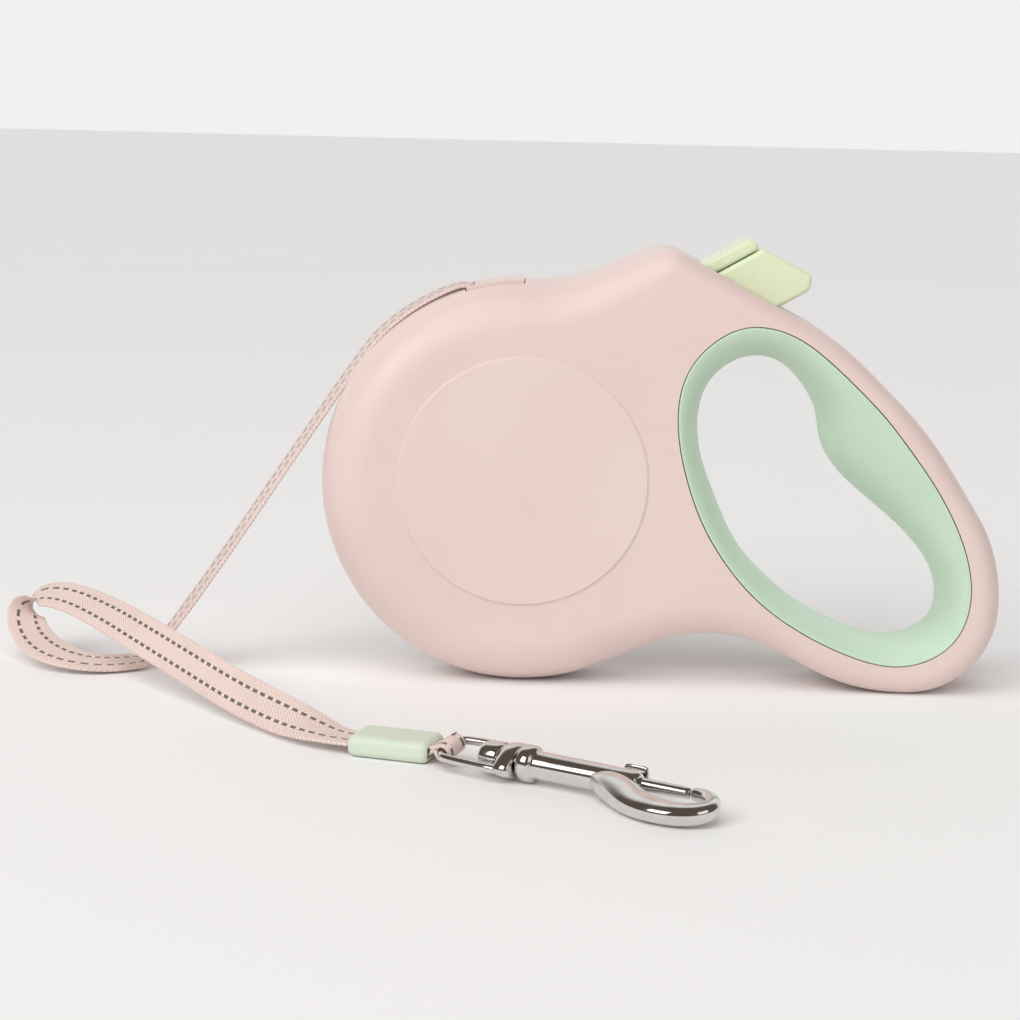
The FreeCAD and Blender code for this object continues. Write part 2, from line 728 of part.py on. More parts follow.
def make_spring_case():
    """The fixed cup that holds the power spring, and its cover."""
    cup = cylinder_y("case_blank", "case_radius", "case_front", "case_back")
    room = cylinder_y("case_room", "case_radius - case_wall", "case_front - 1", "case_base")
    hole = cylinder_y("case_hole", "axle_radius + 0.05", "case_base - 1", "case_back + 1")
    node(cut("spring_case", cup, [room, hole]), "spring_case")
    plate = cylinder_y("cover_blank", "case_radius - case_wall - 0.15", "cover_front", "cover_back")
    hole = cylinder_y("cover_hole", "arbor_radius + 0.4", "cover_front - 1", "cover_back + 1")
    node(cut("spring_cover", plate, [hole]), "spring_cover")


def make_power_spring():
    """A flat spiral strip, drawn as half circles whose radius grows by half a pitch each."""
    inner, pitch, half_turns, half_strip = 5.45, 3.1, 16, 0.25
    outer_arcs, inner_arcs = [], []
    for turn in range(half_turns):
        radius = inner + turn * pitch / 2 + pitch / 4
        centre = Vector(DRUM.x + (pitch / 4 if turn % 2 else -pitch / 4), SIZES["spring_front"], DRUM.z)
        up = 1 if turn % 2 else -1
        first = 1 if turn % 2 else -1
        for arcs, reach in ((outer_arcs, radius + half_strip), (inner_arcs, radius - half_strip)):
            start = centre - Vector(first * reach, 0, 0)
            middle = centre + Vector(0, 0, up * reach)
            end = centre + Vector(first * reach, 0, 0)
            arcs.append(Part.Arc(start, middle, end).toShape())
    ends = [
        Part.makeLine(inner_arcs[0].valueAt(inner_arcs[0].FirstParameter),
                      outer_arcs[0].valueAt(outer_arcs[0].FirstParameter)),
        Part.makeLine(inner_arcs[-1].valueAt(inner_arcs[-1].LastParameter),
                      outer_arcs[-1].valueAt(outer_arcs[-1].LastParameter)),
    ]
    loop = Part.Wire(Part.__sortEdges__(outer_arcs + inner_arcs + ends))
    width = SIZES["spring_back"] - SIZES["spring_front"]
    return node(feature("power_spring", Part.Face(loop).extrude(Vector(0, width, 0))), "power_spring")


# ---------------------------------------------------------------- button

def filleted(name, base, radius, chosen):
    """Fillet the edges that the test picks."""
    doc.recompute()
    result = doc.addObject("Part::Fillet", name)
    result.Base = base
    result.Edges = [(number, radius, radius)
                    for number, edge in enumerate(base.Shape.Edges, start=1) if chosen(edge)]
    return result


def coil(coil_radius, wire_radius, length, turns):
    """A coil spring along Z: flat-sided wire sections every few degrees of the helix."""
    steps_per_turn, wire_sides = 14, 8
    sections = []
    for step in range(turns * steps_per_turn + 1):
        angle = 2 * math.pi * step / steps_per_turn
        outward = Vector(math.cos(angle), math.sin(angle), 0)
        middle = outward * coil_radius + Vector(0, 0, length * step / (turns * steps_per_turn))
        ring = []
        for side in range(wire_sides + 1):
            spin = 2 * math.pi * (side % wire_sides) / wire_sides
            ring.append(middle + (outward * math.cos(spin) + Vector(0, 0, math.sin(spin))) * wire_radius)
        sections.append(Part.makePolygon(ring))
    return Part.makeLoft(sections, True, True)


# Distance along the button's travel beyond which an edge stands clear of the housing.
HOUSING_CLEAR = 6.5


def outside_housing(edge):
    """True for an edge along the button's visible sides."""
    angle = math.radians(SIZES["button_slope"])
    for vertex in edge.Vertexes:
        s = (vertex.X - SIZES["button_x"]) * math.cos(angle) + (vertex.Z - SIZES["button_z"]) * math.sin(angle)
        if s < HOUSING_CLEAR:
            return False
    return abs(edge.Vertexes[0].Y - edge.Vertexes[-1].Y) < 1e-6


def make_button_group():
    """Thumb button, its lock slider, the pawl that stops the spool and the return spring."""
    button = padded_body("button_solid", button_axes(BUTTON_PROFILE), "0 - button_half", "button_half")
    node(filleted("brake_button", button, SIZES["button_rounding"], outside_housing), "brake_button")
    lock = padded_body("lock_solid", button_axes(LOCK_PROFILE), "0 - lock_half", "lock_half")
    node(filleted("lock_slider", lock, SIZES["lock_rounding"], outside_housing), "lock_slider")
    node(padded_body("brake_pawl", button_axes(PAWL_PROFILE), str(PAWL_FRONT), "0 - button_half"), "brake_pawl")

    first, last = BUTTON_SPRING_ENDS
    wire_radius = 0.3
    (x, z, _), = button_axes([(first + wire_radius, BUTTON_SPRING_LINE, 0)])
    spring = feature("button_spring", coil(2.2, wire_radius, last - first - 2 * wire_radius, 7))
    spring.Placement = Placement(Vector(x, 0, z), Rotation(Vector(0, 1, 0), 90 - SIZES["button_slope"]))
    node(spring, "button_spring")


def make_screws():
    """Six self-tapping screws that hold the shells together, driven from the rear."""
    shanks = screw_cylinders("shank", "screw_radius", "screw_tip", "screw_seat + 0.2")
    heads = screw_cylinders("head", "head_radius", "screw_seat", "screw_seat + head_height")
    drives = []
    for number, (x, z) in enumerate(screw_places(), start=1):
        for turn in (0, 90):
            blade = doc.addObject("Part::Box", f"drive_{number}_{turn}")
            blade.Length = SIZES["drive_length"]
            blade.Width = SIZES["head_height"]
            blade.Height = SIZES["drive_width"]
            depth = SIZES["screw_seat"] + SIZES["head_height"] - SIZES["drive_depth"]
            centred = Placement(Vector(-SIZES["drive_length"] / 2, 0, -SIZES["drive_width"] / 2), Rotation())
            blade.Placement = Placement(Vector(x, depth, z), Rotation(Vector(0, 1, 0), turn)).multiply(centred)
            drives.append(blade)
    node(cut("shell_screws", fuse("screw_blanks", shanks + heads), drives), "shell_screws")


# ---------------------------------------------------------------- tape

def lead_start():
    """Where the tape leaves the wound roll on a straight line to the exit."""
    exit_point = Vector(*TAPE_EXIT)
    radius = SIZES["roll_radius"] + TAPE_GAP_AT_SPOOL
    reach = exit_point - DRUM
    angle = math.atan2(reach.z, reach.x) - math.acos(radius / math.hypot(reach.x, reach.z))
    return Vector(DRUM.x + radius * math.cos(angle), SPOOL_TAPE_Y, DRUM.z + radius * math.sin(angle))


def route_stations(points, sides):
    """Straight runs joined by tangent arcs: places along the route, with direction and side."""
    stations = []
    radii = []
    length = 0.0
    here = points[0]
    stations.append((here, (points[1] - here).normalize(), sides[0]))
    for index in range(1, len(points) - 1):
        corner = points[index]
        before, after = corner - points[index - 1], points[index + 1] - corner
        turn = before.getAngle(after)
        radius = 0.45 * min(before.Length, after.Length) / math.tan(turn / 2)
        start, end, centre = corner_points(points[index - 1], corner, points[index + 1], radius)
        steps = max(2, math.ceil(math.degrees(turn) / 12))
        axis = before.cross(after).normalize()
        length += here.distanceToPoint(start) + radius * turn
        for step in range(steps + 1):
            spin = Rotation(axis, math.degrees(turn) * step / steps)
            direction = spin.multVec(Vector(before).normalize())
            stations.append((centre + spin.multVec(start - centre), direction, sides[index]))
        radii.append(radius)
        here = end
    length += here.distanceToPoint(points[-1])
    stations.append((points[-1], (points[-1] - points[-2]).normalize(), sides[-1]))
    return stations, radii, length


def blended_sides(stations):
    """Turn the side direction evenly along each straight run and keep it square to the tape."""
    squared = []
    for index, (place, direction, side) in enumerate(stations):
        near = stations[max(index - 1, 0)][2] + side * 2 + stations[min(index + 1, len(stations) - 1)][2]
        across = near - direction * near.dot(direction)
        squared.append((place, direction, across.normalize()))
    return squared


def ribbon(points, sides):
    """A flat tape as a chain of rectangular sections along the route."""
    stations, radii, length = route_stations(points, sides)
    half_width, half_thick = SIZES["tape_width"] / 2, SIZES["tape_thickness"] / 2
    sections = []
    for place, direction, across in blended_sides(stations):
        normal = direction.cross(across).normalize()
        corners = [place + across * (a * half_width) + normal * (b * half_thick)
                   for a, b in ((-1, -1), (1, -1), (1, 1), (-1, 1))]
        sections.append(Part.makePolygon(corners + corners[:1]))
    return Part.makeLoft(sections, True, True), radii, length


def make_tape():
    """The free tape outside the housing and the straight lead inside it."""
    points = [Vector(*row[:3]) for row in TAPE_ROUTE]
    sides = [Vector(*row[3:]) for row in TAPE_ROUTE]
    shape, radii, length = ribbon(points, sides)
    node(feature("leash_tape", shape), "leash_tape")
    expected = SIZES["tape_width"] * SIZES["tape_thickness"] * length
    print("tape length", round(length, 1), "volume", round(shape.Volume, 1), "expected", round(expected, 1))
    print("tape bend radii", [round(radius, 1) for radius in radii])

    start, end = lead_start(), Vector(*TAPE_EXIT)
    along = (end - start).normalize()
    across = Vector(0, SIZES["tape_width"] / 2, 0)
    through = along.cross(Vector(0, 1, 0)).normalize() * (SIZES["tape_thickness"] / 2)
    section = [start - across - through, start + across - through, start + across + through, start - across + through]
    face = Part.Face(Part.makePolygon(section + section[:1]))
    node(feature("tape_lead", face.extrude(end - start - along)), "tape_lead")


# ---------------------------------------------------------------- end sleeve and snap hook

def frame_along(origin, heading, roll):
    """Placement whose X runs along the heading in the floor plane and whose Y is rolled up."""
    return Placement(origin, Rotation(Vector(0, 0, 1), heading).multiply(Rotation(Vector(1, 0, 0), roll)))


def placed(item, placement, label):
    """Put a finished piece that was built in its own axes into the model."""
    item.Placement = placement
    return node(item, label)


def make_sleeve():
    """The moulded sleeve that joins the doubled tape end: a rounded block with a flat bore."""
    block = doc.addObject("Part::Box", "sleeve_block")
    block.setExpression("Length", size("sleeve_length"))
    block.setExpression("Width", size("sleeve_width"))
    block.setExpression("Height", size("sleeve_height"))
    block.setExpression("Placement.Base.y", size("0 - sleeve_width") + " / 2")
    block.setExpression("Placement.Base.z", size("0 - sleeve_height") + " / 2")
    soft = filleted("sleeve_soft", block, SIZES["sleeve_rounding"], lambda edge: True)
    bore = doc.addObject("Part::Box", "sleeve_bore")
    bore.setExpression("Length", size("sleeve_length + 2"))
    bore.setExpression("Width", size("sleeve_bore_width"))
    bore.setExpression("Height", size("sleeve_bore_height"))
    bore.Placement = Placement(Vector(-1, -SIZES["sleeve_bore_width"] / 2, -SIZES["sleeve_bore_height"] / 2),
                               Rotation())
    along = SLEEVE_END - SLEEVE_START
    heading = math.degrees(math.atan2(along.y, along.x))
    placed(cut("end_sleeve", soft, [bore]), frame_along(SLEEVE_START, heading, 0), "end_sleeve")
    return heading


def make_eye_loop(heading, snap):
    """The tape's doubled end inside the sleeve, and its loop round the snap's eye."""
    sleeve = frame_along(SLEEVE_START, heading, 0)
    length = SIZES["sleeve_length"]
    wide, high = SIZES["tape_width"] / 2, SIZES["doubled_height"] / 2
    narrow = SIZES["loop_width"] / 2
    doubled = Part.makeBox(length - 3.2, 2 * wide, 2 * high, Vector(3.8, -wide, -high))
    doubled.Placement = sleeve
    ring = Part.makeCylinder(SIZES["loop_radius"], 2 * narrow, Vector(1.0, -narrow, 0), Vector(0, 1, 0))
    ring.Placement = snap
    hole = Part.makeCylinder(SIZES["loop_bore"], 12.0, Vector(1.0, -6.0, 0), Vector(0, 1, 0))
    hole.Placement = snap
    corners = ((-1, -1), (1, -1), (1, 1), (-1, 1))
    mouth = [sleeve.multVec(Vector(length + 0.3, wide * y, high * z)) for y, z in corners]
    back = [snap.multVec(Vector(-0.2, narrow * y, 1.5 * z)) for y, z in corners]
    bridge = Part.makeLoft([Part.makePolygon(mouth + mouth[:1]), Part.makePolygon(back + back[:1])], True, True)
    loop = doubled.fuse([bridge, ring]).cut(hole).removeSplitter()
    node(feature("tape_eye_loop", loop), "tape_eye_loop")


def bar_x(name, radius, start, end, offset="0"):
    """A round bar along the snap's own X axis."""
    result = doc.addObject("Part::Cylinder", name)
    result.Placement = Placement(Vector(), Rotation(Vector(0, 1, 0), 90))
    result.setExpression("Radius", size(radius))
    result.setExpression("Height", size(f"( {end} ) - ( {start} )"))
    result.setExpression("Placement.Base.x", size(start))
    result.setExpression("Placement.Base.y", size(offset))
    return result


def local_box(name, low, high):
    """A box between two corners in the snap's own axes."""
    result = doc.addObject("Part::Box", name)
    result.Length, result.Width, result.Height = high[0] - low[0], high[1] - low[1], high[2] - low[2]
    result.Placement = Placement(Vector(*low), Rotation())
    return result


def make_swivel_eye(snap):
    """A wire stirrup on a flat base ring that turns on the snap's stem."""
    corners = [Vector(18.0, 5.3, 0), Vector(1.0, 4.5, 0), Vector(1.0, -4.5, 0), Vector(18.0, -5.3, 0)]
    wire = Part.Wire([piece.toShape() for piece in rounded_path(corners, [0, 1.6, 1.6, 0], closed=False)])
    start = corners[0]
    along = (corners[1] - start).normalize()
    ring = Part.Wire([Part.Circle(start, along, SIZES["eye_wire"]).toShape()])
    stirrup = feature("eye_stirrup", wire.makePipeShell([ring], True, True))
    plate = local_box("eye_plate", (SIZES["plate_start"], -6.0, -1.9), (SIZES["plate_end"], 6.0, 1.9))
    plate_soft = filleted("eye_plate_soft", plate, 0.8, lambda edge: True)
    disc = bar_x("eye_disc", "plate_disc", "plate_start", "plate_end")
    hole = bar_x("eye_hole", "stem_radius + bolt_gap", "15", "22")
    eye = cut("swivel_eye", fuse("eye_solid", [stirrup, plate_soft, disc]), [hole])
    placed(eye, snap, "swivel_eye")


HOOK_PROFILE = [
    (39.0, -2.4, 0), (48.5, -8.6, 18.0), (59.5, -11.4, 16.0), (69.6, -10.0, 4.5), (69.9, -2.0, 5.0),
    (65.5, 1.8, 3.0), (60.9, 1.8, 0), (60.9, -0.4, 0), (64.9, -0.9, 1.5), (64.7, -5.2, 2.2),
    (53.5, -5.2, 7.0), (49.0, -1.6, 1.6), (49.0, 1.4, 0), (39.0, 1.4, 0),
]


def make_snap_body(snap):
    """Stem, collar, barrel with its bolt bore and thumb slot, and the hook."""
    stem = bar_x("snap_stem", "stem_radius", "15", "21")
    rivet = bar_x("snap_head", "stem_head", "9.8", "16.6")
    head = filleted("snap_stem_head", rivet, 0.6, lambda edge: True)
    collar = filleted("snap_collar", bar_x("collar_blank", "collar_radius", "20.0", "23.7"), 0.7,
                      lambda edge: edge.Length > 15)
    barrel = bar_x("snap_barrel", "barrel_radius", "23", "49")
    sketch = doc.addObject("Sketcher::SketchObject", "hook_profile")
    sketch.addGeometry(profile_geometry(HOOK_PROFILE), False)
    blank = doc.addObject("Part::Extrusion", "hook_blank")
    blank.Base = sketch
    blank.DirMode = "Normal"
    blank.Solid = True
    blank.Symmetric = True
    blank.setExpression("LengthFwd", size("hook_half") + " * 2")
    hook = filleted("snap_hook", blank, SIZES["hook_rounding"], hook_rim)
    bore = bar_x("bolt_bore", "bolt_radius + bolt_gap", "25", "50", "bolt_offset")
    slot = local_box("thumb_slot", (36.6, 1.0, -1.05), (47.8, 4.0, 1.05))
    body = cut("snap_body", fuse("snap_solid", [stem, head, collar, barrel, hook]), [bore, slot])
    placed(body, snap, "snap_body")


def hook_rim(edge):
    """True for the hook's long outline edges, clear of the barrel and of the nose's end."""
    flat_edge = abs(edge.Vertexes[0].Z - edge.Vertexes[-1].Z) < 1e-6
    return flat_edge and all(vertex.X > 39.5 and vertex.Y < -0.1 for vertex in edge.Vertexes)


def make_bolt(snap):
    """The sliding bolt, its riveted thumb stud and the spring behind it."""
    bolt = filleted("bolt_round", bar_x("bolt_bar", "bolt_radius", "bolt_start", "bolt_end", "bolt_offset"), 0.3,
                    lambda edge: edge.Vertexes[0].X > 60)
    placed(bolt, snap, "snap_bolt")
    post = doc.addObject("Part::Cylinder", "stud_post")
    post.setExpression("Radius", size("post_radius"))
    post.Height = 2.2
    post.Placement = Placement(Vector(46.4, 1.6, 0), Rotation(Vector(1, 0, 0), -90))
    saddle = filleted("stud_saddle", local_box("saddle_blank", (43.4, 3.4, -2.3), (49.0, 5.0, 2.3)), 0.6,
                      lambda edge: True)
    placed(fuse("bolt_stud", [post, saddle]), snap, "bolt_stud")
    wire_radius, first, last = 0.18, 25.3, SIZES["bolt_start"] - 0.2
    spring = feature("bolt_spring", coil(0.88, wire_radius, last - first - 2 * wire_radius, 9))
    lie = Placement(Vector(first + wire_radius, SIZES["bolt_offset"], 0), Rotation(Vector(0, 1, 0), 90))
    placed(spring, snap.multiply(lie), "bolt_spring")


# ---------------------------------------------------------------- build

def check_document():
    """Stop on any failed object and on any null, invalid or empty sub-part."""
    doc.recompute()
    for item in doc.Objects:
        if "Invalid" in item.State or "Error" in item.State:
            raise RuntimeError(f"{item.Name} failed: {item.State}")
    for item in nodes:
        if item.Shape.isNull() or not item.Shape.isValid() or item.Shape.Volume <= 0:
            raise RuntimeError(f"{item.Label} has no valid solid")


def export_nodes():
    """Write each sub-part to its own STEP file."""
    os.makedirs("parts", exist_ok=True)
    for item in nodes:
        item.Shape.exportStep(f"parts/{item.Label}.step")
        box = item.Shape.BoundBox
        print(f"{item.Label:16s} {len(item.Shape.Solids)} solid(s) {item.Shape.Volume:10.1f} mm3",
              f"x {box.XMin:.1f}..{box.XMax:.1f}  y {box.YMin:.1f}..{box.YMax:.1f}",
              f"z {box.ZMin:.1f}..{box.ZMax:.1f}")


make_sheet()
outline = standing_sketch("housing_outline", outline_geometry())
inner_outline = doc.addObject("Part::Offset2D", "cavity_outline")
inner_outline.Source = outline
inner_outline.setExpression("Value", size("0 - wall"))
grip_edge = feature("grip_edge", grip_wire(0.0, 0.0))
grip_opening_curve = grip_outline("grip_opening_curve", "grip_gap")
grip_wall_curve = grip_outline("grip_wall_curve", "grip_wall")
grip_rib_curve = grip_outline("grip_rib_curve", "grip_rib")
grip_groove_curve = grip_outline("grip_groove_curve", "grip_rib + grip_gap")
slot_sketch = standing_sketch("button_slot_profile", profile_geometry(button_axes(SLOT_PROFILE)))
mouth_sketch = standing_sketch("mouth_profile", profile_geometry(sector_corners(44.0, 53.0, 90.7, 107.8)))
snap_frame = frame_along(SNAP_START, SNAP_HEADING, SNAP_ROLL)

front_outside, front_skin = make_skin()
make_shell(-1, "front_shell", front_outside, front_skin)
make_shell(1, "rear_shell", mirrored_y("rear_outside", front_outside), mirrored_y("rear_skin", front_skin))
make_cap(-1, "front_cap")
make_cap(1, "rear_cap")
make_grip()
make_mouth_guide()
spool_body = make_spool()
make_spool_parts()
make_spring_case()
make_power_spring()
make_button_group()
make_screws()
make_tape()
sleeve_heading = make_sleeve()
make_eye_loop(sleeve_heading, snap_frame)
make_swivel_eye(snap_frame)
make_snap_body(snap_frame)
make_bolt(snap_frame)
check_document()
turned = doc.getObject("spool_blank_turned").Shape.Volume
print("ratchet gullets remove", round(turned - spool_body.Shape.Volume, 1), "mm3")
export_nodes()
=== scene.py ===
import bmesh
import bpy
import math
from mathutils import Matrix, Vector


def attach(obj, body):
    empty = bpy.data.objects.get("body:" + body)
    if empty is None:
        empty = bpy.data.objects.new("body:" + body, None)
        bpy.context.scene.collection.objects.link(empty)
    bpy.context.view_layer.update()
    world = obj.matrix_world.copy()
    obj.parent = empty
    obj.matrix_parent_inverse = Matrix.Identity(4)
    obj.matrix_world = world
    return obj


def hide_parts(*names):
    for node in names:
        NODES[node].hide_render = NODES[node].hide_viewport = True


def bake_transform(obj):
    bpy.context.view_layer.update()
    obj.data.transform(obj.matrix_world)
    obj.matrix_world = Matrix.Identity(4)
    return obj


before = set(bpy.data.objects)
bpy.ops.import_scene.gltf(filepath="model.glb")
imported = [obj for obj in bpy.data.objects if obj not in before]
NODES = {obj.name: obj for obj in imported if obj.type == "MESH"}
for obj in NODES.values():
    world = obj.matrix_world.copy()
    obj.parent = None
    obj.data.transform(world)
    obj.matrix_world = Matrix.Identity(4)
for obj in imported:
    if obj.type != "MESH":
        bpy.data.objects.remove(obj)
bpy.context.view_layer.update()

# Looks of the retractable leash: woven tape, moulded plastics, soft grip and the chromed snap hook,
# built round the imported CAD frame.  Lengths are metres in the frame's own axes.

MM = 0.001

TAPE_WIDTH = 0.010
TAPE_THICKNESS = 0.0009

# The free tape's route: a point, then the direction across to the far edge.  It is the CAD part's
# route, with some of the loop's points moved.
TAPE_ROUTE = [
    (-0.0479, 0.0, 0.0983, 0.0, 1.0, 0.0),
    (-0.0499, 0.0, 0.0992, 0.0, 1.0, 0.0),
    (-0.0539, 0.0, 0.0981, -0.04, 1.0, 0.03),
    (-0.0619, 0.0, 0.0940, -0.08, 1.0, 0.06),
    (-0.0691, 0.0, 0.0886, -0.12, 1.0, 0.09),
    (-0.0752, 0.0, 0.0820, -0.15, 1.0, 0.12),
    (-0.1276, -0.0003, 0.0017, -0.18, 1.0, 0.12),
    (-0.1340, -0.0055, 0.0015, 0.0, 1.0, 0.08),
    (-0.1420, -0.0100, 0.0023, 0.12, 0.95, 0.15),
    (-0.1500, -0.0085, 0.0034, 0.25, 0.90, 0.25),
    (-0.1570, -0.0020, 0.0050, 0.36, 0.85, 0.34),
    (-0.1612, 0.0048, 0.0078, 0.42, 0.82, 0.38),
    (-0.1624, 0.0095, 0.0118, 0.44, 0.80, 0.40),
    (-0.1590, 0.0115, 0.0152, 0.40, 0.80, 0.42),
    (-0.1510, 0.0080, 0.0156, 0.28, 0.82, 0.45),
    (-0.1390, -0.0040, 0.0138, 0.14, 0.82, 0.53),
    (-0.1270, -0.0190, 0.0116, 0.05, 0.70, 0.70),
    (-0.1140, -0.0355, 0.0092, 0.15, 0.50, 0.83),
    (-0.1010, -0.0520, 0.0066, 0.25, 0.40, 0.80),
    (-0.0890, -0.0645, 0.0047, 0.33, 0.55, 0.65),
    (-0.0806, -0.0714, 0.0034, 0.33, 0.85, 0.30),
    (-0.0745, -0.0752, 0.0025, 0.29, 0.957, 0.0),
    (-0.0677, -0.0774, 0.0025, 0.29, 0.957, 0.0),
]


# ---------------------------------------------------------------- node helpers

def srgb(red, green, blue):
    """A linear colour from 0-255 display values."""
    linear = []
    for value in (red, green, blue):
        share = value / 255
        linear.append(share / 12.92 if share <= 0.04045 else ((share + 0.055) / 1.055) ** 2.4)
    return (*linear, 1.0)


class Shader:
    """A material with a Principled shader and short calls for the nodes that feed it."""

    def __init__(self, name, roughness, **constants):
        self.material = bpy.data.materials.new(name)
        self.material.use_nodes = True
        self.tree = self.material.node_tree
        self.shader = self.tree.nodes["Principled BSDF"]
        self.shader.inputs["Roughness"].default_value = roughness
        for socket, value in constants.items():
            self.shader.inputs[socket.replace("_", " ")].default_value = value

    def node(self, kind, **settings):
        made = self.tree.nodes.new(kind)
        for key, value in settings.items():
            setattr(made, key, value)
        return made

    def link(self, output, target):
        self.tree.links.new(output, target)

    def put(self, source, target):
        """Link a socket, or set a number."""
        if isinstance(source, (int, float)):
            target.default_value = source
        else:
            self.link(source, target)

    def place(self, scale=(1, 1, 1)):
        """Object coordinates in metres, scaled."""
        mapping = self.node("ShaderNodeMapping")
        mapping.inputs["Scale"].default_value = scale
        self.link(self.node("ShaderNodeTexCoord").outputs["Object"], mapping.inputs["Vector"])
        return mapping.outputs["Vector"]

    def noise(self, scale, detail=3.0, vector=None):
        made = self.node("ShaderNodeTexNoise")
        made.inputs["Scale"].default_value = scale
        made.inputs["Detail"].default_value = detail
        self.link(self.place() if vector is None else vector, made.inputs["Vector"])
        return made.outputs["Fac"]

    def math(self, operation, first, second=0.0, third=0.0, clamp=False):
        made = self.node("ShaderNodeMath", operation=operation, use_clamp=clamp)
        for socket, value in zip(made.inputs, (first, second, third)):
            self.put(value, socket)
        return made.outputs[0]

    def spread(self, value, low, high, to_low=0.0, to_high=1.0):
        made = self.node("ShaderNodeMapRange", interpolation_type="SMOOTHSTEP")
        for socket, number in zip(made.inputs, (value, low, high, to_low, to_high)):
            self.put(number, socket)
        return made.outputs[0]

    def mix(self, share, first, second):
        made = self.node("ShaderNodeMix", data_type="RGBA")
        self.put(share, made.inputs[0])
        for socket, colour in ((made.inputs[6], first), (made.inputs[7], second)):
            if isinstance(colour, tuple):
                socket.default_value = colour
            else:
                self.link(colour, socket)
        return made.outputs[2]

    def colour(self, value):
        self.link(value, self.shader.inputs["Base Color"])

    def roughness(self, value):
        self.link(value, self.shader.inputs["Roughness"])

    def bump(self, height, distance, strength=1.0, after=None):
        made = self.node("ShaderNodeBump")
        made.inputs["Strength"].default_value = strength
        made.inputs["Distance"].default_value = distance
        self.link(height, made.inputs["Height"])
        if after is not None:
            self.link(after, made.inputs["Normal"])
        self.link(made.outputs["Normal"], self.shader.inputs["Normal"])
        return made.outputs["Normal"]


# ---------------------------------------------------------------- materials

GRAIN_DEPTH = 0.000012


def moulded(name, colour, shade, roughness=0.36, **constants):
    """Moulded plastic: faint flow marks in the colour, fine spark-eroded grain and uneven gloss."""
    made = Shader(name, roughness, **constants)
    clouds = made.spread(made.noise(28.0, 4.0), 0.3, 0.7)
    made.colour(made.mix(clouds, colour, shade))
    gloss = made.spread(made.noise(90.0, 5.0), 0.25, 0.75, roughness - 0.05, roughness + 0.06)
    made.roughness(gloss)
    ripple = made.bump(made.noise(60.0, 1.0), 0.00004, 0.35)
    made.bump(made.noise(3800.0, 2.0), GRAIN_DEPTH, 0.5, after=ripple)
    return made.material


def soft_touch(name, colour, shade):
    """Matt elastomer: velvety sheen over a fine pebble grain."""
    made = Shader(name, 0.55, Sheen_Weight=0.25, Sheen_Roughness=0.45, Subsurface_Weight=0.12,
                  Subsurface_Scale=0.002)
    made.colour(made.mix(made.spread(made.noise(35.0, 4.0), 0.3, 0.7), colour, shade))
    made.roughness(made.spread(made.noise(120.0, 4.0), 0.3, 0.7, 0.48, 0.60))
    cells = made.node("ShaderNodeTexVoronoi", feature="SMOOTH_F1")
    cells.inputs["Scale"].default_value = 2600.0
    made.link(made.place(), cells.inputs["Vector"])
    made.bump(cells.outputs["Distance"], 0.00002, 0.5)
    return made.material


def plated(name, colour, roughness=0.07):
    """Polished plating: slight ripple from the casting below and hairline polishing marks."""
    made = Shader(name, roughness, Metallic=1.0)
    dull = made.spread(made.noise(320.0, 5.0), 0.45, 0.8)
    made.colour(made.mix(dull, colour, tuple(channel * 0.88 for channel in colour[:3]) + (1.0,)))
    made.roughness(made.spread(made.noise(500.0, 4.0), 0.3, 0.8, roughness, roughness + 0.09))
    ripple = made.bump(made.noise(230.0, 1.0), 0.00005, 0.3)
    made.bump(made.noise(5200.0, 2.0, made.place((1.0, 1.0, 0.15))), 0.000003, 0.35, after=ripple)
    return made.material


def machined(name, colour, roughness):
    """Bare metal inside the housing: fine turning marks and a few duller patches."""
    made = Shader(name, roughness, Metallic=1.0)
    marks = made.noise(2400.0, 3.0, made.place((1.0, 0.08, 1.0)))
    made.colour(made.mix(made.spread(made.noise(140.0, 4.0), 0.4, 0.7), colour,
                         tuple(channel * 0.75 for channel in colour[:3]) + (1.0,)))
    made.roughness(made.spread(marks, 0.3, 0.7, roughness - 0.06, roughness + 0.12))
    made.bump(marks, 0.000008, 0.5)
    return made.material


# Tape pattern, in metres: twill stripes and ribs, fine picks, and two rows of dashes at this share
# of the half width from the middle.
STRIPE_WIDTH = 0.0025
RIB_PITCH = 0.00115
PICK_PITCH = 0.00042
DASH_ROW = 0.44
DASH_PITCH = 0.0028
DASH_LENGTH = 0.0017
DASH_WIDTH = 0.0008
THREAD_HALF = 0.00007


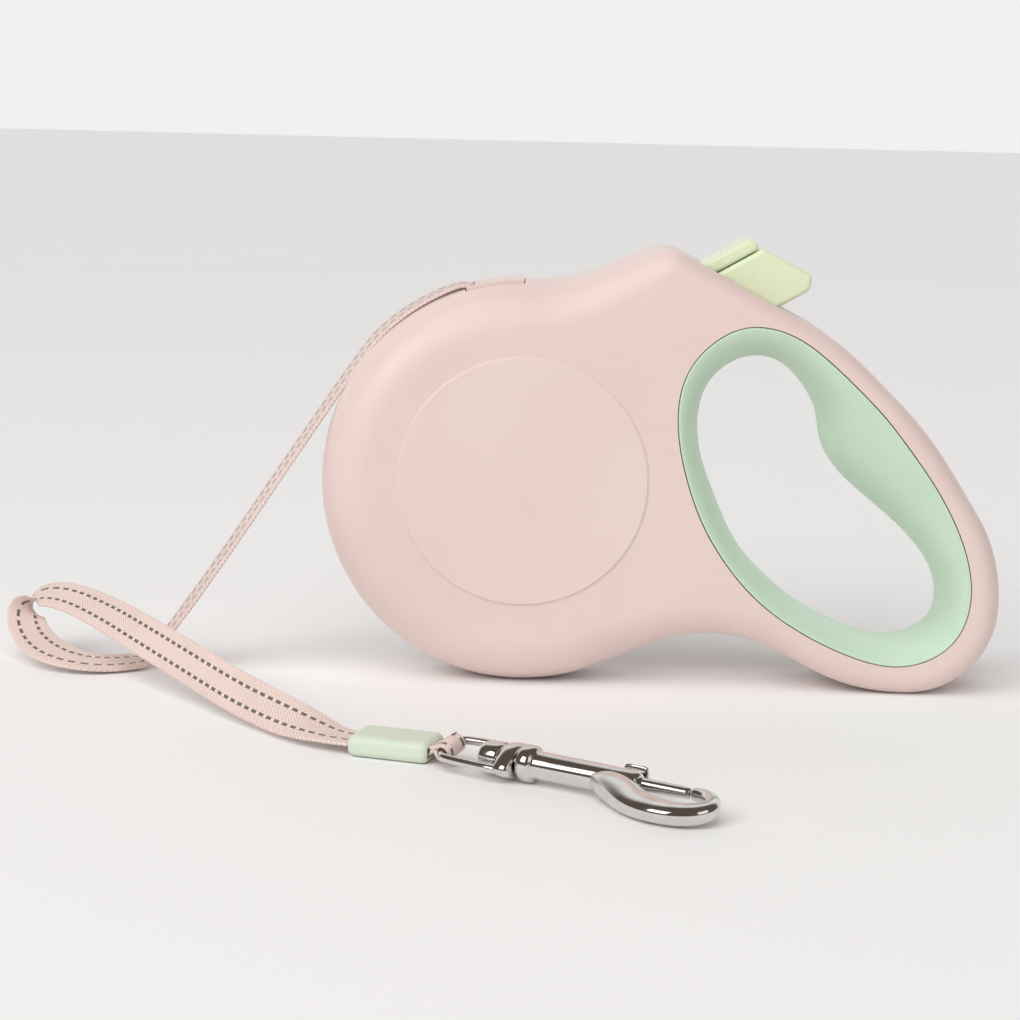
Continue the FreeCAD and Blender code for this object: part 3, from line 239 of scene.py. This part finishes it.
def woven_tape():
    """Herringbone tape.  The mesh's map runs in metres: u along the tape, v across from its centre."""
    made = Shader("woven_tape", 0.72, Sheen_Weight=0.35, Sheen_Roughness=0.4)
    across = made.node("ShaderNodeSeparateXYZ")
    made.link(made.node("ShaderNodeUVMap", uv_map="tape").outputs["UV"], across.inputs["Vector"])
    u, v = across.outputs[0], across.outputs[1]

    # twill ribs lean one way on the first half of a stripe and back on the other
    stripe = made.math("PINGPONG", made.math("ADD", v, 0.00625), STRIPE_WIDTH)
    lean = made.math("ADD", u, made.math("MULTIPLY", stripe, 1.5))
    rib = made.math("SINE", made.math("MULTIPLY", lean, 2 * math.pi / RIB_PITCH))
    pick = made.math("SINE", made.math("MULTIPLY", v, 2 * math.pi / PICK_PITCH))
    weave = made.math("ADD", made.math("MULTIPLY", rib, 0.38), made.math("MULTIPLY", pick, 0.12))
    fuzz = made.noise(5200.0, 3.0)
    height = made.math("ADD", weave, made.math("MULTIPLY", fuzz, 0.5))

    # dashes: a dark reflective thread that comes up at intervals beside a thin white one
    row = made.math("ABSOLUTE", made.math("SUBTRACT", made.math("ABSOLUTE", v), DASH_ROW * TAPE_WIDTH / 2))
    phase = made.math("PINGPONG", made.math("ADD", u, made.math("MULTIPLY", v, 0.12)), DASH_PITCH / 2)
    in_row = made.math("LESS_THAN", row, DASH_WIDTH / 2)
    on_top = made.math("LESS_THAN", phase, DASH_LENGTH / 2)
    dash = made.math("MULTIPLY", in_row, on_top)
    thread = made.math("MULTIPLY", made.math("LESS_THAN", row, THREAD_HALF), made.math("SUBTRACT", 1.0, on_top))

    # painted shade: the weave is coloured darker in its low parts and lighter on its crests, following the bump
    # height
    relief_shade = made.spread(height, -0.35, 0.65)
    base = made.mix(relief_shade, srgb(206, 178, 170), srgb(241, 222, 216))
    stained = made.mix(made.spread(made.noise(70.0, 3.0), 0.35, 0.7), base, srgb(233, 210, 203))
    with_thread = made.mix(thread, stained, srgb(247, 240, 236))
    made.colour(made.mix(dash, with_thread, srgb(112, 104, 98)))
    made.roughness(made.spread(fuzz, 0.3, 0.7, 0.62, 0.85))
    raised = made.math("ADD", height, made.math("MULTIPLY", dash, 0.5))
    made.bump(raised, 0.00012, 0.8)
    return made.material


PINK = moulded("housing_pink", srgb(232, 211, 206), srgb(229, 207, 202))
PINK_CAP = moulded("cap_pink", srgb(233, 213, 208), srgb(230, 209, 204), roughness=0.33)
GREEN_GRIP = soft_touch("grip_green", srgb(202, 224, 203), srgb(197, 220, 198))
LIME = moulded("button_lime", srgb(228, 238, 205), srgb(223, 234, 199), roughness=0.30,
               Subsurface_Weight=0.1, Subsurface_Scale=0.002)
SLEEVE_GREEN = moulded("sleeve_green", srgb(214, 226, 208), srgb(209, 222, 203), roughness=0.34,
                       Subsurface_Weight=0.15, Subsurface_Scale=0.002)
INNER_WHITE = moulded("inner_acetal", srgb(226, 224, 216), srgb(216, 214, 206), roughness=0.45)
CASE_BLACK = moulded("case_nylon", srgb(58, 58, 60), srgb(48, 48, 50), roughness=0.5)
CHROME = plated("snap_chrome", (0.74, 0.73, 0.71, 1.0))
BOLT_CHROME = plated("bolt_chrome", (0.76, 0.75, 0.73, 1.0), roughness=0.09)
BLUED = machined("spring_blued", (0.16, 0.18, 0.24, 1.0), 0.3)
BRIGHT = machined("wire_bright", (0.62, 0.62, 0.63, 1.0), 0.25)
BLACK_ZINC = machined("screw_black", (0.08, 0.08, 0.085, 1.0), 0.35)
TAPE = woven_tape()

CAD_FINISH = {
    "front_shell": PINK, "rear_shell": PINK, "front_cap": PINK_CAP, "rear_cap": PINK_CAP,
    "mouth_guide": PINK, "handle_grip": GREEN_GRIP, "brake_button": LIME, "lock_slider": LIME,
    "end_sleeve": SLEEVE_GREEN, "spool": INNER_WHITE, "spool_disc": INNER_WHITE,
    "spring_cover": INNER_WHITE, "thrust_washers": INNER_WHITE, "brake_pawl": INNER_WHITE,
    "spring_case": CASE_BLACK, "axle": BRIGHT, "tape_anchor_pin": BRIGHT, "button_spring": BRIGHT,
    "bolt_spring": BRIGHT, "power_spring": BLUED, "shell_screws": BLACK_ZINC, "swivel_eye": CHROME,
    "snap_body": CHROME, "snap_bolt": BOLT_CHROME, "bolt_stud": BOLT_CHROME, "tape_roll": TAPE,
    "tape_lead": TAPE, "leash_tape": TAPE, "tape_eye_loop": TAPE,
}


def finish_cad_nodes():
    """Give every CAD node its procedural material."""
    for name, material in CAD_FINISH.items():
        mesh = NODES[name].data
        mesh.materials.clear()
        mesh.materials.append(material)


# ---------------------------------------------------------------- mesh helpers

def add_mesh(name, vertices, faces, material, smooth=True):
    """A new mesh object."""
    mesh = bpy.data.meshes.new(name)
    mesh.from_pydata(vertices, [], faces)
    mesh.update()
    mesh.materials.append(material)
    for polygon in mesh.polygons:
        polygon.use_smooth = smooth
    made = bpy.data.objects.new(name, mesh)
    bpy.context.scene.collection.objects.link(made)
    return made


def nurbs_line(name, points):
    """The points of a smooth spline that has the given control points."""
    curve = bpy.data.curves.new(name, "CURVE")
    curve.dimensions = "3D"
    curve.resolution_u = 12
    spline = curve.splines.new("NURBS")
    spline.points.add(len(points) - 1)
    for place, point in zip(spline.points, points):
        place.co = (*point, 1.0)
    spline.order_u = 3
    spline.use_endpoint_u = True
    holder = bpy.data.objects.new(name, curve)
    mesh = bpy.data.meshes.new_from_object(holder)
    line = [vertex.co.copy() for vertex in mesh.vertices]
    bpy.data.objects.remove(holder)
    bpy.data.meshes.remove(mesh)
    return line


# ---------------------------------------------------------------- tape

# Cross-section of the tape from its near edge to its far edge: share of the half width, and share
# of the half thickness on the upper side.  Its selvedges are rounded.
SECTION = [(-1.0, 0.0), (-0.975, 0.75), (-0.9, 1.0), (-0.5, 0.96), (0.0, 0.92), (0.5, 0.96), (0.9, 1.0),
           (0.975, 0.75), (1.0, 0.0)]


def ribbon(name, line, edge, width, thickness, material):
    """A closed flat tape that follows a line, banked towards a second line beside it."""
    ring = SECTION + [(across, -up) for across, up in reversed(SECTION[1:-1])]
    vertices, travelled = [], []
    run = 0.0
    for index, place in enumerate(line):
        ahead = (line[min(index + 1, len(line) - 1)] - line[max(index - 1, 0)]).normalized()
        side = edge[index] - place
        side = (side - ahead * side.dot(ahead)).normalized()
        normal = ahead.cross(side)
        if index:
            run += (place - line[index - 1]).length
        travelled.append(run)
        for across, up in ring:
            vertices.append(place + side * (across * width / 2) + normal * (up * thickness / 2))
    count = len(ring)
    faces = []
    for index in range(len(line) - 1):
        for corner in range(count):
            after = (corner + 1) % count
            faces.append((index * count + corner, index * count + after,
                          (index + 1) * count + after, (index + 1) * count + corner))
    faces.append(tuple(reversed(range(count))))
    faces.append(tuple((len(line) - 1) * count + corner for corner in range(count)))
    made = add_mesh(name, vertices, faces, material)
    layer = made.data.uv_layers.new(name="tape")
    for loop in made.data.loops:
        index, corner = divmod(loop.vertex_index, count)
        layer.data[loop.index].uv = (travelled[index], ring[corner][0] * width / 2)
    return made


def make_tape(far_pieces):
    """The free tape, from the housing's mouth to inside the end sleeve."""
    points = [Vector(row[:3]) for row in TAPE_ROUTE]
    sides = [Vector(row[3:]).normalized() for row in TAPE_ROUTE]
    line = nurbs_line("tape_line", points)
    edge = nurbs_line("tape_edge", [point + side * TAPE_WIDTH / 2 for point, side in zip(points, sides)])
    tape = ribbon("tape_free", line, edge, TAPE_WIDTH, TAPE_THICKNESS, TAPE)
    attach(tape, "housing")
    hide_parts("leash_tape")


# ---------------------------------------------------------------- snap hook

SNAP_START = Vector((-0.0504, -0.0868, 0.0042))
SNAP_HEADING = math.radians(-32.2)
SNAP_ROLL = math.radians(12.0)
SNAP_FRAME = (Matrix.Translation(SNAP_START) @ Matrix.Rotation(SNAP_HEADING, 4, "Z")
              @ Matrix.Rotation(SNAP_ROLL, 4, "X"))


def smooth_loft(name, rings, material, levels=1):
    """A closed surface through equal rings in the snap's millimetres, subdivided and set in place."""
    count = len(rings[0])
    vertices = [Vector(point) * MM for ring in rings for point in ring]
    faces = []
    for index in range(len(rings) - 1):
        for corner in range(count):
            after = (corner + 1) % count
            faces.append((index * count + corner, index * count + after,
                          (index + 1) * count + after, (index + 1) * count + corner))
    faces.append(tuple(reversed(range(count))))
    faces.append(tuple((len(rings) - 1) * count + corner for corner in range(count)))
    made = add_mesh(name, vertices, faces, material)
    made.modifiers.new("smooth", "SUBSURF").levels = levels
    made.modifiers["smooth"].render_levels = levels
    apply_modifiers(made)
    made.data.transform(SNAP_FRAME)
    fix_normals(made)
    return made


def apply_modifiers(item):
    """Replace an object's mesh by what its modifiers make of it."""
    graph = bpy.context.evaluated_depsgraph_get()
    shaped = bpy.data.meshes.new_from_object(item.evaluated_get(graph))
    item.modifiers.clear()
    item.data = shaped


def fix_normals(item):
    """Turn every face outwards and shade it smooth."""
    shape = bmesh.new()
    shape.from_mesh(item.data)
    bmesh.ops.recalc_face_normals(shape, faces=shape.faces)
    for face in shape.faces:
        face.smooth = True
    shape.to_mesh(item.data)
    shape.free()


def join(name, pieces):
    """One object of several meshes."""
    shape = bmesh.new()
    for piece in pieces:
        shape.from_mesh(piece.data)
    material = pieces[0].data.materials[0]
    for piece in pieces:
        bpy.data.objects.remove(piece)
    mesh = bpy.data.meshes.new(name)
    shape.to_mesh(mesh)
    shape.free()
    mesh.materials.append(material)
    made = bpy.data.objects.new(name, mesh)
    bpy.context.scene.collection.objects.link(made)
    return made


def turned_rings(profile, sides=40, offset=0.0):
    """Rings along the snap's X axis from (x, radius) rows; each sharp corner is two close rows."""
    rings = []
    for x, radius in profile:
        ring = []
        for side in range(sides):
            angle = 2 * math.pi * side / sides
            ring.append((x, offset + radius * math.cos(angle), radius * math.sin(angle)))
        rings.append(ring)
    return rings


def swept_rings(path, sides=20, power=2.4):
    """Rounded-box rings along a path of (x, y, z, half width, half thickness) in the X-Y plane."""
    rings = []
    for index, (x, y, z, wide, thick) in enumerate(path):
        before, after = path[max(index - 1, 0)], path[min(index + 1, len(path) - 1)]
        ahead = Vector((after[0] - before[0], after[1] - before[1], 0)).normalized()
        left = Vector((-ahead.y, ahead.x, 0))
        ring = []
        for side in range(sides):
            angle = 2 * math.pi * side / sides
            cosine, sine = math.cos(angle), math.sin(angle)
            across = math.copysign(abs(cosine) ** (2 / power), cosine) * wide
            up = math.copysign(abs(sine) ** (2 / power), sine) * thick
            ring.append((x + left.x * across, y + left.y * across, z + up))
        rings.append(ring)
    return rings


# Hook blade: centre line from the barrel round to the nose, with half width and half thickness.
HOOK_PATH = [
    (37.2, -1.7, 0, 0.5, 0.8), (39.2, -1.9, 0, 1.5, 2.2), (42.0, -2.4, 0, 2.7, 3.15),
    (45.0, -3.4, 0, 3.5, 3.3), (48.0, -5.0, 0, 3.8, 3.1), (51.0, -7.0, 0, 3.6, 2.75),
    (54.6, -8.9, 0.3, 3.25, 2.4), (59.0, -9.7, 0.5, 3.0, 2.25), (63.2, -9.2, 0.4, 2.8, 2.25),
    (66.2, -7.5, 0.2, 2.55, 2.2), (67.7, -5.0, 0, 2.3, 2.15), (67.6, -2.6, 0, 2.0, 2.0),
    (66.2, -0.6, 0, 1.75, 1.85), (64.2, 0.45, 0, 1.5, 1.7), (62.5, 0.75, 0, 1.3, 1.5),
    (61.3, 0.85, 0, 1.2, 1.4), (61.0, 0.85, 0, 0.9, 1.1),
]
# Rivet head, stem, collar and barrel, as x and radius.
BARREL_PROFILE = [
    (9.8, 0.4), (9.9, 2.4), (10.3, 3.1), (11.0, 3.3), (14.4, 3.3), (15.0, 3.1), (15.2, 2.2), (15.3, 1.85),
    (19.9, 1.85), (20.0, 3.4), (20.3, 3.95), (20.9, 4.15), (22.7, 4.15), (23.3, 3.95), (23.6, 3.45),
    (23.7, 3.15), (24.3, 3.1), (47.8, 3.05), (48.6, 2.85), (49.0, 2.3), (49.05, 1.4),
]
BOLT_PROFILE = [
    (37.0, 0.3), (37.05, 1.0), (37.3, 1.3), (38.0, 1.4), (59.9, 1.4), (60.5, 1.25), (60.7, 0.9), (60.75, 0.3),
]
BOLT_OFFSET = 0.7
# Thumb saddle, as x, height of its top and half width.
STUD_ROWS = [
    (43.3, 3.9, 1.7), (43.5, 4.6, 2.1), (44.0, 4.95, 2.35), (44.9, 4.7, 2.4), (46.2, 4.55, 2.4),
    (47.5, 4.7, 2.4), (48.4, 4.95, 2.35), (48.9, 4.6, 2.1), (49.1, 3.9, 1.7),
]
STUD_BOTTOM = 3.35
POST_X = 46.4
POST_RADIUS = 0.85
# Stirrup: half of the wire's centre line, from the saddle round to the middle of the tape's bar.
WIRE_HALF = [(17.6, 5.35), (14.0, 5.3), (8.0, 5.1), (3.6, 4.85), (2.0, 4.5), (1.2, 3.6), (1.0, 2.2)]
WIRE_RADIUS = 1.0
BAR_X = 1.0
# Stirrup's cast saddle, as x, half height and half thickness.
EYE_ROWS = [
    (15.5, 4.6, 1.4), (15.6, 5.6, 2.2), (16.0, 6.1, 2.7), (17.0, 6.35, 2.9), (18.6, 6.35, 2.9),
    (19.3, 6.1, 2.7), (19.6, 5.6, 2.2), (19.7, 4.6, 1.4),
]


def make_snap_hook():
    """Stem, collar and barrel turned in one, with the broad hook blade."""
    barrel = smooth_loft("barrel", turned_rings(BARREL_PROFILE), CHROME)
    blade = smooth_loft("blade", swept_rings(HOOK_PATH), CHROME, levels=2)
    hook = join("snap_hook_body", [barrel, blade])
    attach(hook, "snap")
    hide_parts("snap_body")
    return hook


def make_bolt():
    """The round bolt that closes the hook, with its rounded tip."""
    rings = turned_rings(BOLT_PROFILE, sides=28, offset=BOLT_OFFSET)
    bolt = smooth_loft("snap_bolt_pin", rings, BOLT_CHROME)
    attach(bolt, "bolt")
    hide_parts("snap_bolt")
    return bolt


def make_spring(node, name):
    """A copy of the CAD node's coil, set in its place."""
    spring = bpy.data.objects.new(name, NODES[node].data.copy())
    spring.data.transform(NODES[node].matrix_world)
    bpy.context.scene.collection.objects.link(spring)
    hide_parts(node)
    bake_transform(spring)


def make_springs():
    """The bolt's and the button's coils, between the ends they have in the CAD part."""
    make_spring("bolt_spring", "bolt_coil")
    make_spring("button_spring", "return_coil")


def make_bolt_stud():
    """The thumb saddle and its post, which ride on the bolt."""
    saddle_rings = []
    for x, top, half in STUD_ROWS:
        waist = (STUD_BOTTOM + top) / 2
        saddle_rings.append([
            (x, STUD_BOTTOM, -half), (x, STUD_BOTTOM, half), (x, waist, half + 0.12), (x, top, half * 0.8),
            (x, top + 0.1, 0.0), (x, top, -half * 0.8), (x, waist, -half - 0.12),
        ])
    saddle = smooth_loft("saddle", saddle_rings, BOLT_CHROME, levels=2)
    post_rings = []
    for y in (1.7, 2.0, 3.0, 3.6):
        angles = [step * math.pi / 8 for step in range(16)]
        post_rings.append([(POST_X + POST_RADIUS * math.cos(angle), y, POST_RADIUS * math.sin(angle))
                           for angle in angles])
    post = smooth_loft("post", post_rings, BOLT_CHROME)
    stud = join("thumb_stud", [saddle, post])
    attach(stud, "bolt")
    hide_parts("bolt_stud")
    return stud


def make_swivel_eye():
    """The bent wire stirrup and the cast saddle that turns on the snap's stem."""
    centre_line = WIRE_HALF + [(BAR_X, 0.0)] + [(x, -y) for x, y in reversed(WIRE_HALF)]
    path = [(x, y, 0.0, WIRE_RADIUS, WIRE_RADIUS) for x, y in centre_line]
    wire = smooth_loft("wire", swept_rings(path, sides=14, power=2.0), CHROME)
    rings = []
    for x, high, thick in EYE_ROWS:
        ring = []
        for step in range(24):
            angle = 2 * math.pi * step / 24
            bulge = 1.0 + 0.35 * abs(math.sin(angle)) ** 6
            ring.append((x, high * math.cos(angle), thick * bulge * math.sin(angle)))
        rings.append(ring)
    saddle = smooth_loft("eye_saddle", rings, CHROME)
    eye = join("swivel_stirrup", [wire, saddle])
    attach(eye, "eye")
    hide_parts("swivel_eye")
    return eye


# ---------------------------------------------------------------- cap beads

CAP_CENTRE = (-0.0346, 0.0520)
CAP_EDGE = 0.03086
BEAD_RINGS = 180
BEAD_SIDES = 8
BEAD_DEPTH = 0.01594


def make_cap_beads():
    """The thin raised bead in the joint round each side cap."""
    for side, name in ((-1, "front_cap_bead"), (1, "rear_cap_bead")):
        vertices, faces = [], []
        for step in range(BEAD_RINGS):
            angle = 2 * math.pi * step / BEAD_RINGS
            around = (step + 1) % BEAD_RINGS
            for corner in range(BEAD_SIDES):
                turn = 2 * math.pi * corner / BEAD_SIDES
                reach = CAP_EDGE + 0.00024 * math.cos(turn)
                depth = BEAD_DEPTH + 0.00022 * math.sin(turn)
                vertices.append((CAP_CENTRE[0] + reach * math.cos(angle), side * depth,
                                 CAP_CENTRE[1] + reach * math.sin(angle)))
                after = (corner + 1) % BEAD_SIDES
                faces.append((step * BEAD_SIDES + corner, step * BEAD_SIDES + after,
                              around * BEAD_SIDES + after, around * BEAD_SIDES + corner))
        bead = add_mesh(name, vertices, faces, PINK_CAP)
        fix_normals(bead)
        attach(bead, "housing")


# ---------------------------------------------------------------- tape's end loop

SLEEVE_START = Vector((-0.0710, -0.0763, 0.0025))
SLEEVE_END = Vector((-0.0526, -0.0822, 0.0025))
STRAP_INSIDE = 0.0060
STRAP_MOUTH = 0.0190
STRAP_RADIUS = 0.00175
STRAP_WIDTH = 0.0066


def make_eye_loop():
    """The tape's doubled end, gathered narrower and wrapped once round the eye's bar."""
    along = (SLEEVE_END - SLEEVE_START).normalized()
    across = Vector((0, 0, 1)).cross(along)
    eye_x, eye_y, eye_z = [(SNAP_FRAME.to_3x3() @ Vector(axis)).normalized()
                           for axis in ((1, 0, 0), (0, 1, 0), (0, 0, 1))]
    bar = SNAP_FRAME @ (Vector((BAR_X, 0, 0)) * MM)
    inside = SLEEVE_START + along * STRAP_INSIDE
    mouth = SLEEVE_START + along * STRAP_MOUTH
    rise_inside, rise_mouth = Vector((0, 0, 0.0006)), Vector((0, 0, 0.0007))
    stations = [(inside + rise_inside, across), (mouth + rise_mouth, across)]
    for degrees in range(115, -226, -15):
        angle = math.radians(degrees)
        place = bar + (eye_x * math.cos(angle) + eye_z * math.sin(angle)) * STRAP_RADIUS
        stations.append((place, eye_y))
    stations += [(mouth - rise_mouth, across), (inside - rise_inside, across)]
    line = [place for place, side in stations]
    edge = [place + side.normalized() for place, side in stations]
    strap = ribbon("strap_loop", line, edge, STRAP_WIDTH, TAPE_THICKNESS, TAPE)
    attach(strap, "housing")
    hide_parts("tape_eye_loop")
    return strap


# ---------------------------------------------------------------- stage

FLOOR_HALF = 6
CAMERA_PLACE = Vector((-0.0376, -0.600, 0.148))
CAMERA_PITCH = 10.0
CAMERA_ROLL = 1.4
LIGHT_TARGET = Vector((-0.03, -0.02, 0.05))
STUDIO_DIM = (0.115, 0.09, 0.075, 1.0)
STUDIO_WHITE = (0.88, 0.88, 0.88, 1.0)


def make_stage():
    """Plain pale floor, soft studio light and the camera."""
    corners = [(-FLOOR_HALF, -FLOOR_HALF, 0), (FLOOR_HALF, -FLOOR_HALF, 0), (FLOOR_HALF, FLOOR_HALF, 0),
               (-FLOOR_HALF, FLOOR_HALF, 0)]
    floor = add_mesh("floor", corners, [(0, 1, 2, 3)], floor_material(), smooth=False)

    area_light("key_light", (-0.70, -0.60, 0.55), 0.50, 1.9, (1.0, 0.99, 0.97))
    area_light("fill_light", (0.75, -0.80, 0.45), 0.60, 1.1, (0.99, 1.0, 1.0))
    make_sun()
    make_world()

    camera = bpy.data.cameras.new("camera")
    camera.lens = 85.0
    camera.sensor_width = 36.0
    holder = bpy.data.objects.new("camera", camera)
    bpy.context.scene.collection.objects.link(holder)
    turn = Matrix.Rotation(math.radians(90.0 - CAMERA_PITCH), 4, "X")
    roll = Matrix.Rotation(math.radians(CAMERA_ROLL), 4, "Z")
    holder.matrix_world = Matrix.Translation(CAMERA_PLACE) @ turn @ roll
    bpy.context.scene.camera = holder

    bpy.context.scene.view_settings.view_transform = "Standard"


def make_world():
    """A studio that is pale behind the object and dim in front and overhead."""
    world = bpy.data.worlds.new("studio")
    world.use_nodes = True
    bpy.context.scene.world = world
    tree = world.node_tree
    direction = tree.nodes.new("ShaderNodeSeparateXYZ")
    tree.links.new(tree.nodes.new("ShaderNodeTexCoord").outputs["Generated"], direction.inputs["Vector"])
    share = tree.nodes.new("ShaderNodeMapRange")
    share.interpolation_type = "SMOOTHSTEP"
    tree.links.new(direction.outputs["Y"], share.inputs["Value"])
    share.inputs["From Min"].default_value = 0.30
    share.inputs["From Max"].default_value = 0.62
    mix = tree.nodes.new("ShaderNodeMix")
    mix.data_type = "RGBA"
    tree.links.new(share.outputs[0], mix.inputs[0])
    mix.inputs[6].default_value = STUDIO_DIM
    mix.inputs[7].default_value = STUDIO_WHITE
    tree.links.new(mix.outputs[2], tree.nodes["Background"].inputs["Color"])


def make_sun():
    """A very wide overhead light for floor and object, kept out of the chrome's reflections."""
    light = bpy.data.lights.new("overhead", "SUN")
    light.energy = 2.2
    light.angle = math.radians(75.0)
    holder = bpy.data.objects.new("overhead", light)
    holder.visible_glossy = False
    bpy.context.scene.collection.objects.link(holder)
    towards = Vector((0.35, 0.75, -1.0))
    holder.rotation_euler = towards.to_track_quat("-Z", "Y").to_euler()


def floor_material():
    """Matt white with a faint unevenness."""
    made = Shader("floor_white", 0.7)
    made.colour(made.mix(made.noise(3.0, 2.0), (0.93, 0.93, 0.93, 1.0), (0.91, 0.91, 0.91, 1.0)))
    return made.material


def area_light(name, place, size, power, colour):
    """A square soft box that looks at the middle of the object."""
    light = bpy.data.lights.new(name, "AREA")
    light.shape = "SQUARE"
    light.size = size
    light.energy = power
    light.color = colour
    holder = bpy.data.objects.new(name, light)
    holder.location = place
    holder.rotation_euler = (LIGHT_TARGET - Vector(place)).to_track_quat("-Z", "Y").to_euler()
    bpy.context.scene.collection.objects.link(holder)


finish_cad_nodes()
make_cap_beads()
make_springs()
make_tape([NODES["end_sleeve"], make_eye_loop(), make_swivel_eye(), make_snap_hook(), make_bolt(),
           make_bolt_stud()])
make_stage()
